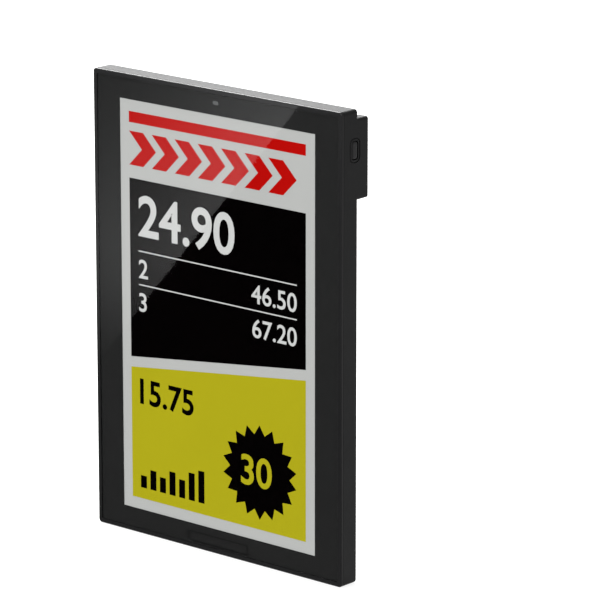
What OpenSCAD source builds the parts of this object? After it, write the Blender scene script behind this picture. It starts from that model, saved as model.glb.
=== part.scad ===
// Electronic shelf label: a slim upright display with a battery housing across the top of its back.
// Millimetres. X runs across the label, +Y from the front face to the back, +Z up.
// The origin is under the middle of the label, at the height of its lower edge.
// Every place named _d is a depth behind the front face.

/* [Screen] */
// Width of the visible screen
screen_w = 99.7; // [98.5:0.1:130]
// Height of the visible screen
screen_h = 165.1; // [150:0.1:210]
// Border between the visible screen and each side of the label
side_margin = 13.65; // [13:0.05:18]
// Border above the visible screen
top_margin = 10.1; // [9.5:0.1:14]
// Border below the visible screen
bottom_margin = 9.8; // [9:0.1:16]

/* [Case] */
// Depth of the thin part of the case
case_depth = 8.9; // [8.6:0.1:12]
// Wall of the sides of the rear case
side_wall = 1.4; // [1.2:0.1:1.5]
// Wall of the back of the rear case
back_wall = 1.8; // [1.2:0.1:1.9]
// Radius of the four corners seen from the front
corner_r = 1.4; // [1.2:0.1:2.5]
// Rounding of the outer front and back edges
edge_r = 0.4; // [0.3:0.1:0.7]
// Depth of the parting line between front bezel and rear case
parting_d = 1.1; // [1.1:0.05:1.4]
// Width of the rim round the front window
rim_w = 1.8; // [1.8:0.1:2.2]
// Thickness of the stiffening ribs inside the rear case
rib_t = 1; // [0.8:0.1:1.5]
// Depth of the bezel skirt inside the rear case
skirt_len = 2.4; // [1.8:0.1:2.5]
// Thickness of the bezel skirt
skirt_t = 1.15; // [0.9:0.05:1.2]

/* [Front window] */
// Thickness of the clear window
window_t = 0.6; // [0.5:0.05:0.7]
// Length of the touch mark below the screen
mark_w = 31.4; // [20:0.1:45]
// Height of the touch mark below the screen
mark_h = 4.3; // [3:0.1:5]
// Length of the status light opening
light_w = 3.2; // [2.4:0.1:5]
// Height of the status light opening
light_h = 1.6; // [1.2:0.1:2]

/* [Display panel] */
// Glass beyond the visible screen on its plain sides
panel_margin = 2.5; // [1.5:0.1:3]
// Thickness of the front film that forms the picture
film_t = 0.4; // [0.3:0.05:0.5]
// Thickness of the display glass
glass_t = 0.8; // [0.5:0.05:0.8]
// Width of the ribbon that joins the display to the board
flex_w = 24; // [16:0.5:30]
// Thickness of the mid frame behind the display
frame_t = 1.1; // [0.8:0.1:1.1]

/* [Battery housing] */
// Step from the top of the case down to the housing
housing_drop = 3.6; // [2.5:0.1:6]
// Diameter of a coin cell
cell_dia = 24.5; // [20:0.1:30]
// Thickness of a coin cell
cell_t = 5; // [3.2:0.1:7.7]
// Room above and below the cells in the bay
bay_play = 2.5; // [2.2:0.1:6]
// Diameter of the head of a case screw
screw_head_dia = 3.8; // [3:0.1:4.4]
// Diameter of the shaft of a case screw
screw_dia = 2; // [1.6:0.1:2.2]

/* [Battery cover] */
// Thickness of the cover
cover_t = 1.3; // [1:0.1:2]
// Housing rim beside the cover
cover_side = 4.2; // [3:0.1:6]
// Housing rim below the cover
cover_bottom = 1.6; // [1.2:0.1:1.8]
// Height of the top tabs over the housing
tab_rise = 1.4; // [1:0.1:2]
// Length of each outer top tab
tab_len = 12.5; // [8:0.1:16]
// Distance from the label's side to an outer top tab
tab_inset = 12; // [8:0.1:20]
// Length of the middle pair of top tabs
mid_tab_len = 42; // [30:0.5:50]
// Width of the pry notch in the middle
pry_w = 3.4; // [2:0.1:6]

/* [Side button] */
// Depth of the button's middle behind the front face
button_d = 7.4; // [7.2:0.05:7.6]
// Distance from the top of the label down to the button
button_drop = 15.5; // [12:0.1:24]
// Width of the key along the depth
key_w = 3.5; // [2.6:0.1:3.6]
// Height of the key
key_h = 7; // [5:0.1:8]
// Travel of the key
key_travel = 0.5; // [0.2:0.05:0.5]
// Width of the collar round the key
collar_w = 0.85; // [0.6:0.05:0.9]

/* [Electronics] */
// Thickness of the circuit board
board_t = 1; // [0.6:0.1:1]
// Height of the wide part of the board
board_h = 41; // [38:0.5:50]
// Width of the leg of the board
leg_w = 34; // [24:0.5:40]
// Width of the radio shield
shield_w = 17; // [12:0.5:20]
// Height of the radio shield
shield_h = 13; // [10:0.5:15]
// Width of the near-field antenna
coil_w = 46; // [30:1:60]
// Height of the near-field antenna
coil_h = 32; // [20:1:40]
// Turns of the near-field antenna
coil_turns = 5; // [2:1:7]

/* [Hidden] */
$fn = 48;

// Gap between parts that are pushed together
fit_gap = 0.1;
// Overrun of a cut past the face that it opens
over = 0.5;

// Outer sizes
label_w = screen_w + 2 * side_margin;
label_h = screen_h + bottom_margin + top_margin;
screen_z = bottom_margin;
screen_top = screen_z + screen_h;

// Layers behind the front face
window_sink = 0.05;
border_t = 0.1;
tape_t = 0.15;
film_gap = 0.05;
foam_t = 0.3;
board_gap = 0.6;
window_d = window_sink + window_t;
border_d = window_d + border_t;
ledge_d = border_d + tape_t;
film_d = border_d + film_gap;
glass_d = film_d + film_t;
panel_back_d = glass_d + glass_t;
frame_d = panel_back_d + foam_t;
frame_back_d = frame_d + frame_t;
board_d = frame_back_d + board_gap;
board_back_d = board_d + board_t;
cavity_d = case_depth - back_wall;

// Battery bay, from its floor to the outer face of the cover
floor_t = 0.9;
cell_lift = 0.5;
pad_t = 0.3;
floor_d = cavity_d + floor_t;
cell_d = floor_d + cell_lift;
pad_d = cell_d + cell_t;
cover_d = pad_d + pad_t;
total_depth = cover_d + cover_t;
front_y = -total_depth / 2;

// Insides of the case and the bezel
case_in_w = label_w - 2 * side_wall;
skirt_out = side_wall + fit_gap;
skirt_in = skirt_out + skirt_t;
corner_in_r = corner_r / 2;
seam_r = 0.12;
window_edge = rim_w + fit_gap;

// Snap beads that hold the bezel in the rear case
bead_r = 0.35;
bead_bite = 0.25;
bead_len = 12;
bead_back = 1.1;
bead_d = parting_d + bead_back;
bead_side_shares = [0.16, 0.39, 0.62];
bead_end_shares = [-0.27, 0.27];

// Display panel, with its driver ledge on the right side
flex_room = 1.3;
panel_gap = 0.4;
panel_ledge = side_margin - skirt_in - flex_room;
panel_left = -screen_w / 2 - panel_margin;
panel_right = screen_w / 2 + panel_ledge;
panel_z = screen_z - panel_margin;
panel_top = screen_top + panel_margin;
panel_mid_z = (panel_z + panel_top) / 2;
film_margin = 1.2;
foam_w = 6;
chip_w = 1.4;
chip_h = 22;
chip_t = 0.3;
chip_edge = 3.2;

// Ribbon between the panel and the board
flex_t = 0.2;
flex_r = 0.6;
flex_bond = 1.6;
flex_reach = 6.4;
flex_notch = 1.2;
flex_notch_end = 2;

// Mid frame
frame_gap = 0.15;
frame_holes_w_share = 0.36;
frame_holes_h_share = 0.11;
frame_hole_rows = 4;
frame_hole_r = 2.5;
boss_dia = 5;

// Battery housing and bay
housing_r = 1;
housing_edge_r = 0.35;
bay_side = 9.8;
bay_wall_z = 2.1;
housing_h = cell_dia + bay_play + 2 * bay_wall_z;
housing_top = label_h - housing_drop;
housing_z = housing_top - housing_h;
bay_w = label_w - 2 * bay_side;
bay_z = housing_z + bay_wall_z;
bay_top = housing_top - bay_wall_z;
bay_mid_z = (bay_z + bay_top) / 2;
bay_r = 2;
cell_end_gap = 0.2;
nest_gap = 0.2;
nest_wall = 0.6;
cell_row_w = bay_w - 2 * cell_end_gap;
cell_count = floor(cell_row_w / (cell_dia + 2 * nest_gap + 2 * nest_wall));
cell_pitch = cell_row_w / cell_count;
nest_h = 2.4;
nest_open_w = 15;
well_wall = 1.2;
well_roof = 1.5;
well_edge = 1.6;
cell_rim_r = 0.5;
cell_step = 0.35;
cell_step_r = 1.6;

// Case screws, between the cells
screw_head_h = 1.2;
screw_play = 0.15;
screw_in = 1.35;
screw_off_z = cell_dia / 2 - screw_in;
screw_x = cell_pitch * (cell_count - 2) / 2;
screw_len = floor_d - frame_back_d - screw_head_h / 2;
slot_w = 1.5;
slot_d = 0.4;

// Contacts
contact_t = 0.25;
neg_w = 3;
neg_foot = 2.4;
neg_root = 8;
neg_tip = 2.5;
pos_w = 5;
pos_h = 3.6;
pos_foot = 1.6;
contact_play = 0.3;

// Battery cover
cover_r = 2;
cover_edge_r = 0.35;
cover_gap = 0.15;
finger_len = 2.6;
finger_t = 1.25;
groove_w = 0.7;
groove_t = 0.2;
pry_h = 1;
low_tab_len = 13;
low_tab_inset = 13;
low_mid_tab_share = 0.2;
locator_w = 8;
locator_t = 0.9;
locator_len = 2;
pad_w = 9;
pad_h = 6;

// Side button, its switch and the board that carries the switch
button_z = label_h - button_drop;
groove_sink = 0.4;
groove_play = 0.25;
collar_edge_r = 0.4;
key_sink = 0.05;
key_r = 1.1;
key_edge_r = 0.9;
key_gap = 0.15;
flange_w = 0.6;
flange_t = 0.6;
stub_len = 0.35;
stub_w = 2;
side_x = label_w / 2;
flange_x = side_x - side_wall - fit_gap;
stub_x = flange_x - flange_t - stub_len;
plunger_gap = 0.05;
plunger_x = stub_x - plunger_gap;
plunger_rest = 0.4;
plunger_out = key_travel + plunger_rest;
plunger_in = 0.5;
plunger_w = 1.4;
plunger_h = 2.6;
switch_x = plunger_x - plunger_out;
switch_len = 4.2;
switch_h = 6;
switch_roof = 0.6;
plunger_play = 0.15;
switch_tall = button_d + plunger_w / 2 + plunger_play + switch_roof - board_back_d;
switch_bay = plunger_in + key_travel + plunger_play;

// Circuit board
board_edge = 3.8;
board_top_gap = 4;
board_w = label_w - 2 * board_edge;
board_top = label_h - board_top_gap;
board_z = board_top - board_h;
board_r = 1.5;
leg_edge = 3.2;
leg_right = board_w / 2 - leg_edge;
leg_left = leg_right - leg_w;
leg_over = 1;
leg_z = panel_mid_z - flex_w / 2 - leg_over;
boss_play = 0.4;
connector_w = 5;
connector_h_over = 3;
connector_t = 1.2;
shield_t = 1.4;
shield_wall = 0.2;
shield_left_share = -0.4;
shield_play = 0.6;
shield_z = bay_mid_z - neg_root - neg_foot - shield_play - shield_h;
antenna_w = 15;
antenna_h = 4.5;
antenna_t = 0.3;
antenna_arm = 1;
antenna_lift = 1.2;
antenna_edge = 1;
part_w = 3;
part_h = 2.2;
part_t = 1;
part_rows = 3;
part_cols = 4;
part_pitch = 6;
ic_w = 7;
ic_t = 0.9;

// Status light in the middle of the top border
light_drop = 5.3;
light_z = label_h - light_drop;
led_w = 1.6;
led_h = 0.8;
led_t = 0.6;
guide_gap = 0.1;
guide_collar = 0.6;
guide_collar_t = 0.6;

// Near-field antenna on the back of the mid frame
coil_z_share = 0.3;
coil_film_t = 0.1;
coil_trace_t = 0.1;
coil_trace = 0.8;
coil_pitch = 1.6;
coil_r = 2;

// Ribs inside the rear case
rib_gap = 0.15;
rib_x_shares = [-0.36, -0.12, 0.12];
rib_z_shares = [0.07, 0.17, 0.27, 0.37, 0.47, 0.57];
rib_side_share = 0.4;
rib_end_share = 0.62;

// Touch mark
mark_z = 4.7;
mark_line = 0.6;
mark_sink = 0.12;

// Flat outlines in X and Z
module rounded_rect(w, h, r) {
    union() {
        square([w - 2 * r, h], center = true);
        square([w, h - 2 * r], center = true);
        for (sx = [-1, 1], sz = [-1, 1])
            translate([sx * (w / 2 - r), sz * (h / 2 - r)]) circle(r);
    }
}

module outline(x0, x1, z0, z1, r) {
    translate([(x0 + x1) / 2, (z0 + z1) / 2]) rounded_rect(x1 - x0, z1 - z0, r);
}

// An outline made solid between two depths
module slab(d0, d1) {
    translate([0, front_y + d1, 0]) rotate([90, 0, 0]) linear_extrude(d1 - d0) children();
}

// The whole label's outline, drawn in by an inset
module label_outline(inset, r) {
    outline(-label_w / 2 + inset, label_w / 2 - inset, inset, label_h - inset, r);
}

// Section of a block's border: low_e rounds its outer edge at 0 and high_e the one at t
module border_section(r, t, low_e, high_e) {
    union() {
        square([r - low_e, t - high_e]);
        translate([0, low_e]) square([r - high_e, t - low_e]);
        translate([0, low_e]) square([r, t - low_e - high_e]);
        if (low_e > 0) translate([r - low_e, low_e]) intersection() {
            circle(low_e);
            translate([0, -low_e]) square(low_e);
        }
        if (high_e > 0) translate([r - high_e, t - high_e]) intersection() {
            circle(high_e);
            square(high_e);
        }
    }
}

// A block with round corners and rounded edges, its section run round all four sides
module rounded_block(w, h, t, r, low_e, high_e) {
    union() {
        translate([-w / 2 + r, -h / 2 + r, 0]) cube([w - 2 * r, h - 2 * r, t]);
        for (a = [0, 180]) rotate([0, 0, a]) {
            translate([w / 2 - r, h / 2 - r, 0])
                rotate([90, 0, 0]) linear_extrude(h - 2 * r) border_section(r, t, low_e, high_e);
            translate([-w / 2 + r, h / 2 - r, 0])
                rotate([90, 0, 90]) linear_extrude(w - 2 * r) border_section(r, t, low_e, high_e);
            translate([w / 2 - r, h / 2 - r, 0])
                rotate_extrude(angle = 90) border_section(r, t, low_e, high_e);
            translate([-w / 2 + r, h / 2 - r, 0])
                rotate([0, 0, 90]) rotate_extrude(angle = 90) border_section(r, t, low_e, high_e);
        }
    }
}

// A rounded block that lies between two depths
module case_block(w, z0, z1, d0, d1, r, front_e, back_e) {
    translate([0, front_y + d1, (z0 + z1) / 2])
        rotate([90, 0, 0]) rounded_block(w, z1 - z0, d1 - d0, r, back_e, front_e);
}

// An outline in Y and Z made solid from x0 to x1, with its middle at a depth and a height
module side_slab(x0, x1, d, z) {
    translate([x0, front_y + d, z]) rotate([90, 0, 90]) linear_extrude(x1 - x0) children();
}

// A pin along the depth
module depth_pin(x, z, d0, d1, r) {
    translate([x, front_y + d1, z]) rotate([90, 0, 0]) cylinder(h = d1 - d0, r = r);
}

// Places of the case screws
module at_screws() {
    for (sx = [-1, 1], sz = [-1, 1]) translate([sx * screw_x, 0, bay_mid_z + sz * screw_off_z]) children();
}

// Places of the coin cells
module at_cells() {
    for (i = [0 : cell_count - 1])
        translate([(i - (cell_count - 1) / 2) * cell_pitch, 0, bay_mid_z]) children();
}

// Snap beads along the sides and ends of the skirt, r thick at a distance from the outer face
module snap_beads(inset, r, len) {
    for (sx = [-1, 1], share = bead_side_shares)
        translate([sx * (label_w / 2 - inset), front_y + bead_d, label_h * share])
            cylinder(h = len, r = r);
    for (share = bead_end_shares, z = [inset, label_h - inset])
        translate([label_w * share - len / 2, front_y + bead_d, z])
            rotate([0, 90, 0]) cylinder(h = len, r = r);
}

// Slot beside the panel for the ribbon, from x0 to x1
module ribbon_slot(x0, x1) {
    h = flex_w + 2 * flex_notch_end;
    outline(x0, x1, panel_mid_z - h / 2, panel_mid_z + h / 2, fit_gap);
}

// Glass outline of the display panel, grown on every side
module panel_outline(grow) {
    outline(panel_left - grow, panel_right + grow, panel_z - grow, panel_top + grow, grow + fit_gap);
}

module light_outline(grow) {
    translate([0, light_z])
        rounded_rect(light_w + 2 * grow, light_h + 2 * grow, light_h / 2 + grow - fit_gap / 2);
}

module front_bezel() {
    color([0.15, 0.15, 0.16]) union() {
        difference() {
            case_block(label_w, 0, label_h, 0, parting_d, corner_r, edge_r, seam_r);
            slab(-over, ledge_d) label_outline(rim_w, corner_in_r);
            slab(0, parting_d + over) panel_outline(panel_gap);
            slab(0, parting_d + over) ribbon_slot(-screen_w / 2, panel_right + flex_room);
            slab(0, parting_d + over) light_outline(guide_gap);
        }
        difference() {
            slab(ledge_d, parting_d + skirt_len) label_outline(skirt_out, corner_in_r);
            slab(parting_d - over, frame_d) panel_outline(panel_gap);
            slab(parting_d - over, frame_d) ribbon_slot(-screen_w / 2, panel_right + flex_room);
            slab(parting_d - over, frame_d) light_outline(guide_collar + guide_gap);
            slab(frame_d, parting_d + skirt_len + over) label_outline(skirt_in, corner_in_r);
        }
        intersection() {
            snap_beads(skirt_out + bead_r - bead_bite, bead_r, bead_len);
            slab(parting_d, parting_d + skirt_len) difference() {
                label_outline(side_wall - bead_bite, corner_in_r);
                label_outline(skirt_in, corner_in_r);
            }
        }
    }
}

module cover_window() {
    color([0.75, 0.8, 0.82, 0.35]) difference() {
        slab(window_sink, window_d) label_outline(window_edge, corner_in_r);
        slab(window_sink - over, window_sink + mark_sink) translate([0, mark_z]) difference() {
            rounded_rect(mark_w, mark_h, mark_h / 4);
            rounded_rect(mark_w - 2 * mark_line, mark_h - 2 * mark_line, mark_h / 4 - mark_line / 2);
        }
    }
}

module window_border() {
    color([0.03, 0.03, 0.03]) slab(window_d, border_d) difference() {
        label_outline(window_edge, corner_in_r);
        outline(-screen_w / 2, screen_w / 2, screen_z, screen_top, fit_gap);
        light_outline(0);
    }
}

module window_tape() {
    color([0.1, 0.1, 0.1]) slab(border_d, ledge_d) difference() {
        label_outline(window_edge, corner_in_r);
        panel_outline(panel_gap);
        ribbon_slot(-screen_w / 2, panel_right + panel_gap + fit_gap);
        light_outline(guide_gap);
    }
}

module display_film() {
    color([0.75, 0.75, 0.74]) slab(film_d, glass_d)
        outline(-screen_w / 2 - film_margin, screen_w / 2 + film_margin,
            screen_z - film_margin, screen_top + film_margin, fit_gap);
}

module display_glass() {
    color([0.6, 0.7, 0.7]) slab(glass_d, panel_back_d) panel_outline(0);
}

module driver_chip() {
    color([0.12, 0.12, 0.13]) slab(glass_d - chip_t, glass_d)
        outline(panel_right - chip_edge - chip_w, panel_right - chip_edge,
            panel_mid_z - chip_h / 2, panel_mid_z + chip_h / 2, fit_gap);
}

// Ribbon: bonded to the front of the glass ledge, folded round the edge and run back to the board
module display_flex() {
    turn_x = panel_right + fit_gap;
    front_d = glass_d - flex_t;
    back_d = board_back_d + connector_t / 2;
    color([0.72, 0.45, 0.12])
    translate([0, front_y, panel_mid_z - flex_w / 2]) linear_extrude(flex_w) union() {
        translate([panel_right - flex_bond, front_d]) square([flex_bond + fit_gap, flex_t]);
        translate([turn_x + flex_r, front_d + flex_t + flex_r])
            square([flex_t, back_d - front_d - flex_t - 2 * flex_r]);
        translate([turn_x - flex_reach, back_d]) square([flex_reach, flex_t]);
        intersection() {
            translate([turn_x, front_d + flex_t + flex_r]) difference() {
                circle(flex_r + flex_t);
                circle(flex_r);
            }
            translate([turn_x, front_d]) square([flex_r + flex_t, flex_r + flex_t]);
        }
        intersection() {
            translate([turn_x, back_d - flex_r]) difference() {
                circle(flex_r + flex_t);
                circle(flex_r);
            }
            translate([turn_x, back_d - flex_r]) square([flex_r + flex_t, flex_r + flex_t]);
        }
    }
}

module panel_foam() {
    color([0.2, 0.2, 0.2]) slab(panel_back_d, frame_d) difference() {
        panel_outline(0);
        outline(panel_left + foam_w, panel_right - foam_w, panel_z + foam_w, panel_top - foam_w, fit_gap);
    }
}

// Row of openings down the middle of the frame, below the board
module frame_openings() {
    w = screen_w * frame_holes_w_share;
    h = screen_h * frame_holes_h_share;
    step = (board_z - skirt_in) / (frame_hole_rows + 1);
    for (sx = [-1, 1], i = [1 : frame_hole_rows])
        translate([sx * screen_w / 4, skirt_in + i * step]) rounded_rect(w, h, frame_hole_r);
}

module mid_frame() {
    color([0.55, 0.55, 0.56]) difference() {
        union() {
            slab(frame_d, frame_back_d) label_outline(skirt_in + frame_gap, corner_in_r);
            slab(frame_back_d, board_d) difference() {
                outline(-board_w / 2, board_w / 2, board_z, board_top, board_r);
                outline(-board_w / 2 + well_edge, board_w / 2 - well_edge, board_z + well_edge,
                    board_top - well_edge, board_r / 2);
            }
            at_screws() depth_pin(0, 0, frame_d, cavity_d, boss_dia / 2);
        }
        at_screws() depth_pin(0, 0, frame_d - over, cavity_d + over, screw_dia / 2 + fit_gap / 2);
        slab(frame_d - over, frame_back_d + over) frame_openings();
        slab(frame_d - over, board_d + over) translate([0, light_z])
            rounded_rect(light_w + 2 * (guide_collar + guide_gap), light_h + 2 * (guide_collar + guide_gap),
                light_h / 2);
        slab(frame_d - over, frame_back_d + over)
            ribbon_slot(panel_right - flex_notch, panel_right + side_margin);
    }
}

module main_board() {
    color([0.05, 0.3, 0.15]) difference() {
        slab(board_d, board_back_d) union() {
            outline(-board_w / 2, board_w / 2, board_z, board_top, board_r);
            outline(leg_left, leg_right, leg_z, board_z + board_h / 2, board_r);
        }
        at_screws() depth_pin(0, 0, board_d - over, board_back_d + over, boss_dia / 2 + boss_play);
    }
}

module flex_connector() {
    conn_right = panel_right + fit_gap - flex_reach + 2 * flex_bond;
    slot_from = board_back_d + connector_t / 2 - fit_gap / 2;
    h = flex_w + 2 * connector_h_over;
    slot_h = flex_w + 2 * fit_gap;
    color([0.85, 0.82, 0.72]) difference() {
        slab(board_back_d, board_back_d + connector_t)
            outline(conn_right - connector_w, conn_right, panel_mid_z - h / 2, panel_mid_z + h / 2, fit_gap);
        slab(slot_from, slot_from + flex_t + fit_gap)
            outline(conn_right - connector_w + flex_bond, conn_right + over,
                panel_mid_z - slot_h / 2, panel_mid_z + slot_h / 2, fit_gap / 2);
    }
}

module shield_can() {
    x = label_w * shield_left_share;
    z = shield_z;
    color([0.75, 0.76, 0.78]) difference() {
        slab(board_back_d, board_back_d + shield_t) outline(x, x + shield_w, z, z + shield_h, fit_gap);
        slab(board_back_d - over, board_back_d + shield_t - shield_wall)
            outline(x + shield_wall, x + shield_w - shield_wall,
                z + shield_wall, z + shield_h - shield_wall, fit_gap);
    }
}

module board_components() {
    x = label_w * shield_left_share;
    color([0.1, 0.1, 0.11]) union() {
        slab(board_back_d, board_back_d + ic_t) union() {
            outline(x + shield_w / 2 - ic_w / 2, x + shield_w / 2 + ic_w / 2,
                shield_z + shield_h / 2 - ic_w / 2, shield_z + shield_h / 2 + ic_w / 2, fit_gap);
            outline(leg_left + part_w, leg_left + part_w + ic_w, board_z - ic_w, board_z, fit_gap);
        }
        slab(board_back_d, board_back_d + part_t)
            for (i = [0 : part_cols - 1], j = [0 : part_rows - 1])
                translate([leg_left + part_w + i * part_pitch, leg_z + part_h + j * part_pitch])
                    square([part_w, part_h]);
    }
}

// Stamped antenna: a folded strip that stands on the board beside the top edge
module radio_antenna() {
    x = -board_w / 2 + antenna_edge;
    color([0.8, 0.78, 0.7]) union() {
        slab(board_back_d + antenna_lift, board_back_d + antenna_lift + antenna_t) union() {
            translate([x, board_top - antenna_arm]) square([antenna_w, antenna_arm]);
            translate([x, board_top - antenna_h]) square([antenna_arm, antenna_h]);
            translate([x, board_top - antenna_h]) square([antenna_w - 2 * antenna_arm, antenna_arm]);
            translate([x + 3 * antenna_arm, board_top - antenna_h]) square([antenna_arm, antenna_h]);
        }
        slab(board_back_d, board_back_d + antenna_lift) union() {
            translate([x, board_top - antenna_h]) square([antenna_arm, antenna_t]);
            translate([x + 3 * antenna_arm, board_top - antenna_h]) square([antenna_arm, antenna_t]);
        }
    }
}

// The near-field antenna's outline, drawn in by an inset
module coil_square(inset) {
    square([coil_w - 2 * inset, coil_h - 2 * inset], center = true);
}

// Square turns on a thin film
module nfc_antenna() {
    color([0.75, 0.5, 0.25]) translate([0, 0, label_h * coil_z_share]) union() {
        slab(frame_back_d, frame_back_d + coil_film_t) rounded_rect(coil_w, coil_h, coil_r);
        slab(frame_back_d + coil_film_t, frame_back_d + coil_film_t + coil_trace_t)
            for (i = [1 : coil_turns]) difference() {
                coil_square(i * coil_pitch);
                coil_square(i * coil_pitch + coil_trace);
            }
    }
}

module status_led() {
    color([0.95, 0.95, 0.85]) slab(board_d - led_t, board_d)
        translate([0, light_z]) square([led_w, led_h], center = true);
}

module light_guide() {
    color([0.85, 0.88, 0.9, 0.6]) union() {
        slab(window_d, board_d - led_t - guide_gap) light_outline(-guide_gap);
        slab(frame_d - guide_collar_t, frame_back_d) light_outline(guide_collar);
    }
}

module tactile_switch() {
    color([0.16, 0.16, 0.17]) difference() {
        translate([switch_x - switch_len, front_y + board_back_d, button_z - switch_h / 2])
            cube([switch_len, switch_tall, switch_h]);
        translate([switch_x - switch_bay, front_y + button_d - plunger_w / 2 - plunger_play,
            button_z - plunger_h / 2 - plunger_play])
            cube([switch_bay + over, plunger_w + 2 * plunger_play, plunger_h + 2 * plunger_play]);
    }
}

module switch_plunger() {
    color([0.3, 0.3, 0.32])
        translate([switch_x - plunger_in, front_y + button_d - plunger_w / 2, button_z - plunger_h / 2])
            cube([plunger_in + plunger_out, plunger_w, plunger_h]);
}

// Key with a soft front edge, a flange that stops it behind the wall and a stub for the switch
module side_button() {
    color([0.2, 0.2, 0.21]) union() {
        translate([flange_x - flange_t, front_y + button_d, button_z])
            rotate([90, 0, 90])
                rounded_block(key_w, key_h, side_x - key_sink - flange_x + flange_t, key_r, 0, key_edge_r);
        side_slab(flange_x - flange_t, flange_x, button_d, button_z)
            rounded_rect(key_w + 2 * (key_gap + flange_w), key_h + 2 * (key_gap + flange_w), key_r);
        side_slab(stub_x, flange_x, button_d, button_z) square([stub_w, stub_w], center = true);
    }
}

// Ring walls that hold the cells, open at the top and the bottom for fingers and contacts
module cell_nests() {
    r = cell_dia / 2 + nest_gap;
    at_cells() difference() {
        depth_pin(0, 0, floor_d - fit_gap, floor_d + nest_h, r + nest_wall);
        depth_pin(0, 0, floor_d - over, floor_d + nest_h + over, r);
        translate([-nest_open_w / 2, front_y + floor_d - over, -cell_dia])
            cube([nest_open_w, nest_h + 2 * over, 2 * cell_dia]);
    }
}

module bay_cut() {
    slab(floor_d, total_depth + over) outline(-bay_w / 2, bay_w / 2, bay_z, bay_top, bay_r);
}

// Seat of the battery cover, open at the top, with slots for the lower tabs
module cover_seat() {
    w = label_w - 2 * cover_side;
    slab(cover_d, total_depth + over) union() {
        outline(-w / 2, w / 2, housing_z + cover_bottom, housing_top - cover_r, cover_r);
        translate([-w / 2, housing_top - housing_h / 2]) square([w, housing_h]);
        for (x = low_tab_places()) translate([x[0] - cover_gap, housing_z - over])
            square([x[1] - x[0] + 2 * cover_gap, cover_bottom + 2 * over]);
    }
}

function low_tab_places() = [
    [-label_w / 2 + low_tab_inset, -label_w / 2 + low_tab_inset + low_tab_len],
    [-label_w * low_mid_tab_share / 2, label_w * low_mid_tab_share / 2],
    [label_w / 2 - low_tab_inset - low_tab_len, label_w / 2 - low_tab_inset]
];

function top_tab_places() = [
    [-label_w / 2 + tab_inset, -label_w / 2 + tab_inset + tab_len],
    [-mid_tab_len / 2, -pry_w / 2],
    [pry_w / 2, mid_tab_len / 2],
    [label_w / 2 - tab_inset - tab_len, label_w / 2 - tab_inset]
];

// Hollow sides of the housing, for the switch
module wells() {
    for (sx = [-1, 1]) {
        x0 = bay_w / 2 + well_wall;
        x1 = case_in_w / 2;
        slab(cavity_d - over, cover_d - well_roof)
            outline(sx > 0 ? x0 : -x1, sx > 0 ? x1 : -x0,
                housing_z + well_edge, housing_top - well_edge, fit_gap);
    }
}

// Ring-shaped groove that leaves a collar round the key, and the hole of the key
module button_openings() {
    ring = key_gap + collar_w;
    difference() {
        side_slab(side_x - groove_sink, side_x + over, button_d, button_z)
            rounded_rect(key_w + 2 * (ring + groove_play), key_h + 2 * (ring + groove_play),
                key_r + ring + groove_play);
        translate([side_x - 2 * groove_sink, front_y + button_d, button_z]) rotate([90, 0, 90])
            rounded_block(key_w + 2 * ring, key_h + 2 * ring, 2 * groove_sink - key_sink,
                key_r + ring, 0, collar_edge_r);
    }
    side_slab(side_x - side_wall - over, side_x + over, button_d, button_z)
        rounded_rect(key_w + 2 * key_gap, key_h + 2 * key_gap, key_r + key_gap);
}

module case_ribs() {
    top = label_h * rib_end_share;
    slab(frame_back_d + 2 * rib_gap + coil_film_t, cavity_d + fit_gap) union() {
        for (share = rib_x_shares)
            translate([label_w * share - rib_t / 2, skirt_in + rib_gap])
                square([rib_t, top - skirt_in - rib_gap]);
        for (share = rib_z_shares)
            translate([-label_w * rib_side_share, label_h * share])
                square([leg_left - part_w + label_w * rib_side_share, rib_t]);
    }
}

// Slots in the floor of the bay that the contacts stand in
module contact_slots() {
    at_cells() {
        translate([-neg_w / 2 - contact_play, front_y + cavity_d - over, -neg_root - contact_play])
            cube([neg_w + 2 * contact_play, floor_t + 2 * over, contact_t + 2 * contact_play]);
        translate([-pos_w / 2 - contact_play, front_y + cavity_d - over, cell_dia / 2 - contact_play])
            cube([pos_w + 2 * contact_play, floor_t + 2 * over, contact_t + 2 * contact_play]);
    }
}

module rear_case() {
    color([0.16, 0.16, 0.17]) union() {
        difference() {
            union() {
                case_block(label_w, 0, label_h, parting_d, case_depth, corner_r, seam_r, edge_r);
                case_block(label_w, housing_z, housing_top, parting_d + skirt_len, total_depth,
                    housing_r, 0, housing_edge_r);
            }
            slab(parting_d - over, cavity_d) label_outline(side_wall, corner_in_r);
            snap_beads(skirt_out + bead_r - bead_bite, bead_r + fit_gap, bead_len + 2 * fit_gap);
            wells();
            bay_cut();
            cover_seat();
            button_openings();
            contact_slots();
            at_screws() depth_pin(0, 0, cavity_d - over, floor_d + over, screw_dia / 2 + screw_play);
            for (x = top_tab_places())
                translate([x[0], front_y + cover_d - finger_len / 2 - groove_w / 2, housing_top - groove_t])
                    cube([x[1] - x[0], groove_w, groove_t + over]);
        }
        cell_nests();
        case_ribs();
    }
}

// Coin cell: the can with a rounded rim, and the smaller cap that faces the board
module coin_cells() {
    color([0.8, 0.8, 0.82]) at_cells() translate([0, front_y + pad_d, 0]) rotate([90, 0, 0]) union() {
        rotate_extrude() union() {
            square([cell_dia / 2 - cell_rim_r, cell_t - cell_step]);
            translate([0, cell_rim_r]) square([cell_dia / 2, cell_t - cell_step - cell_rim_r]);
            translate([cell_dia / 2 - cell_rim_r, cell_rim_r]) circle(cell_rim_r);
            square([cell_dia / 2 - cell_step_r, cell_t]);
        }
    }
}

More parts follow.
